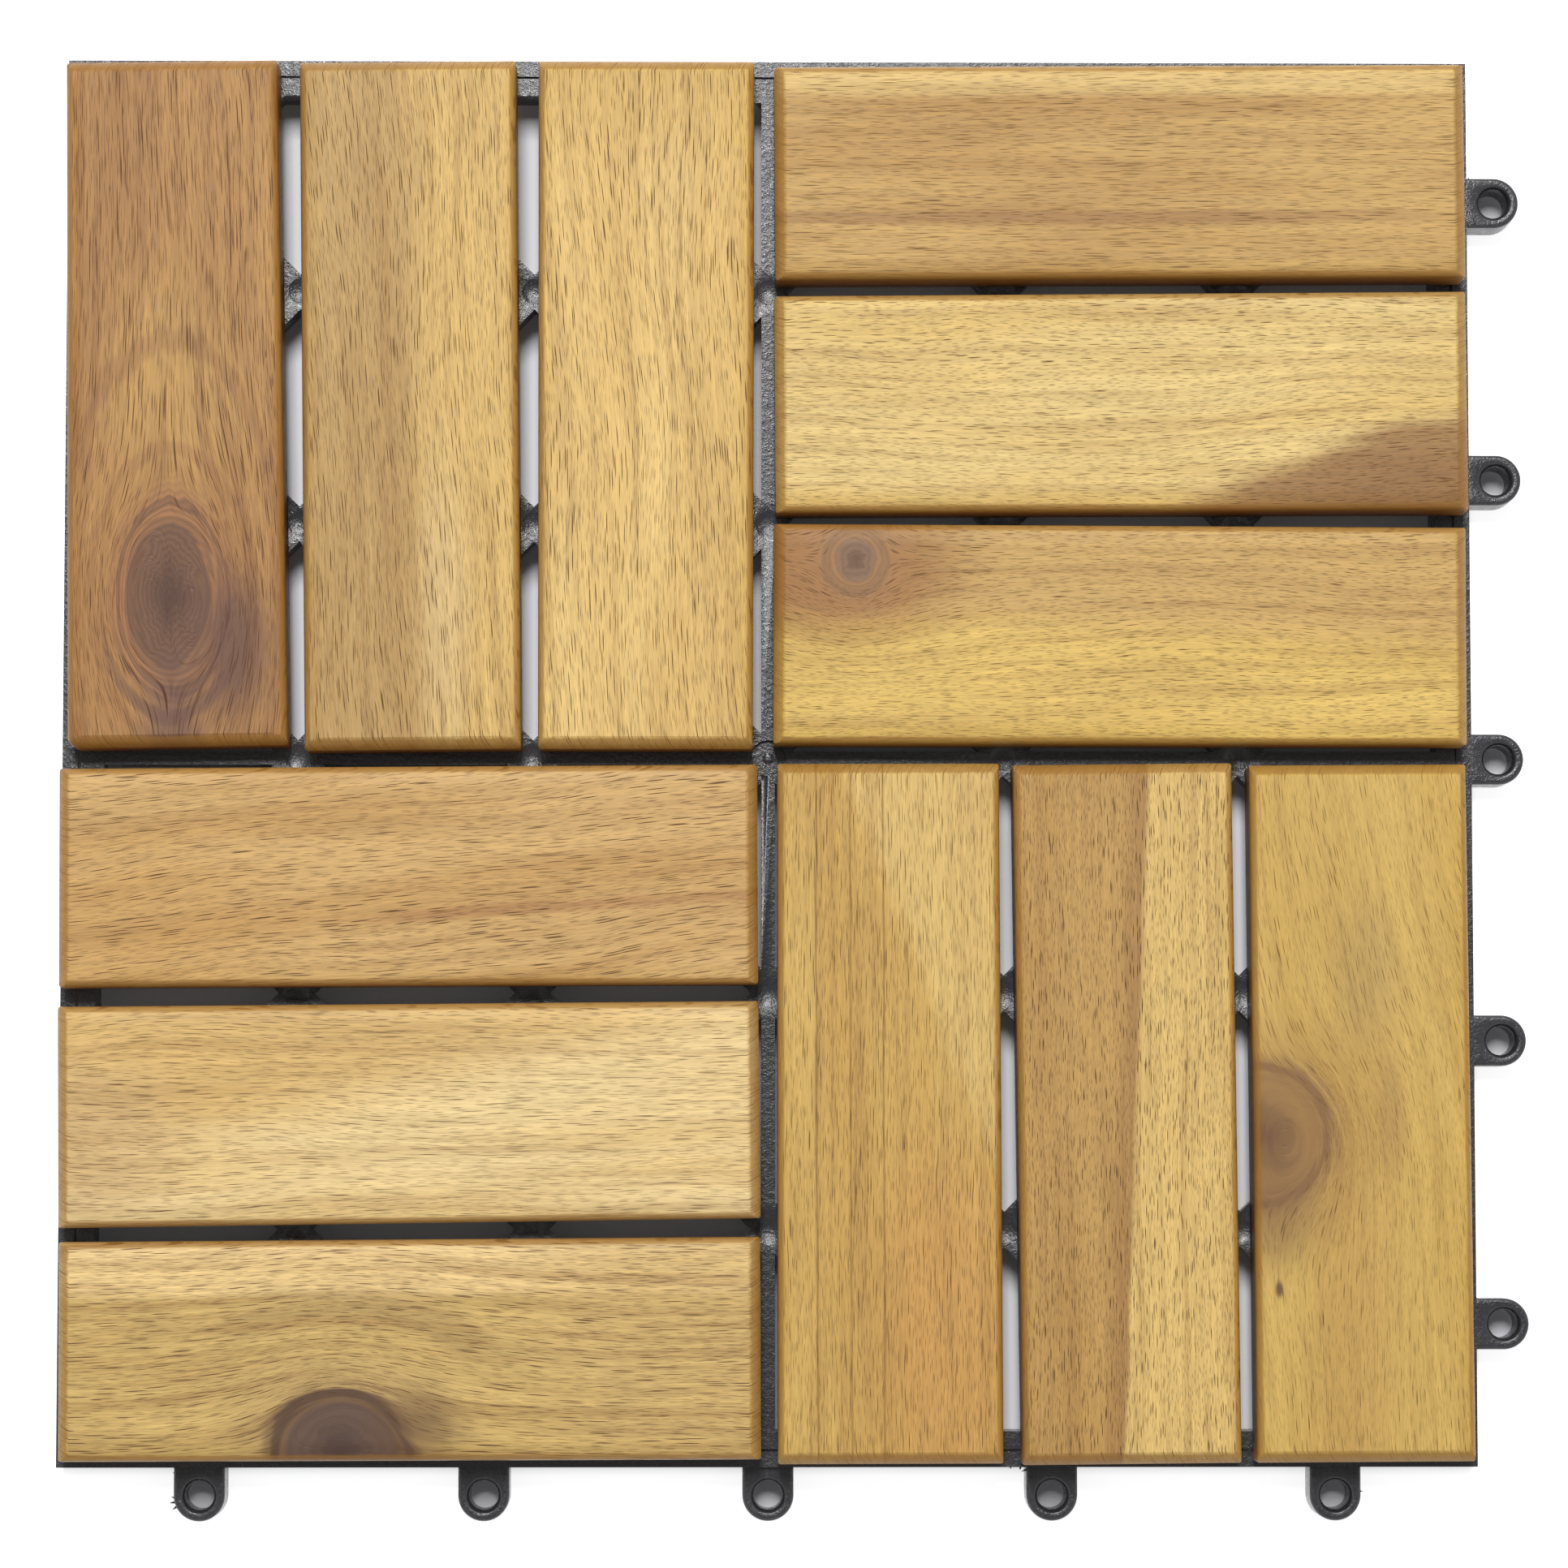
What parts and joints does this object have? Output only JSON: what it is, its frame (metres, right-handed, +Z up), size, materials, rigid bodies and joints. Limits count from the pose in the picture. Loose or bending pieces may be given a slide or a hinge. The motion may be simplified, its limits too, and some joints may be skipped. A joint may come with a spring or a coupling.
{
  "type": "interlocking deck tile",
  "caption": "Square deck tile of wooden slats in a basket-weave layout, screwed to a black plastic grid base with interlocking loops and pegs along its edges.",
  "frame": {"origin": "centre of the square of slats and rim, on the ground under the middle foot", "axes": "+Z up out of the slats, +X towards the side with loops at the right, -Y towards the other side with loops"},
  "size_m": [0.3114, 0.3114, 0.024],
  "materials": {
    "black_plastic": "moulded, fine grained, slightly glossy on the ribs",
    "acacia_wood": "planed and oiled, straight grain with a few knots",
    "screw_steel": "zinc plated"
  },
  "bodies": {
    "root": {"base_grid": "black_plastic", "slat_back_left_1": "acacia_wood", "slat_back_left_2": "acacia_wood", "slat_back_left_3": "acacia_wood", "slat_back_right_1": "acacia_wood", "slat_back_right_2": "acacia_wood", "slat_back_right_3": "acacia_wood", "slat_front_left_1": "acacia_wood", "slat_front_left_2": "acacia_wood", "slat_front_left_3": "acacia_wood", "slat_front_right_1": "acacia_wood", "slat_front_right_2": "acacia_wood", "slat_front_right_3": "acacia_wood", "slat_screws": "screw_steel"}
  },
  "joints": []
}
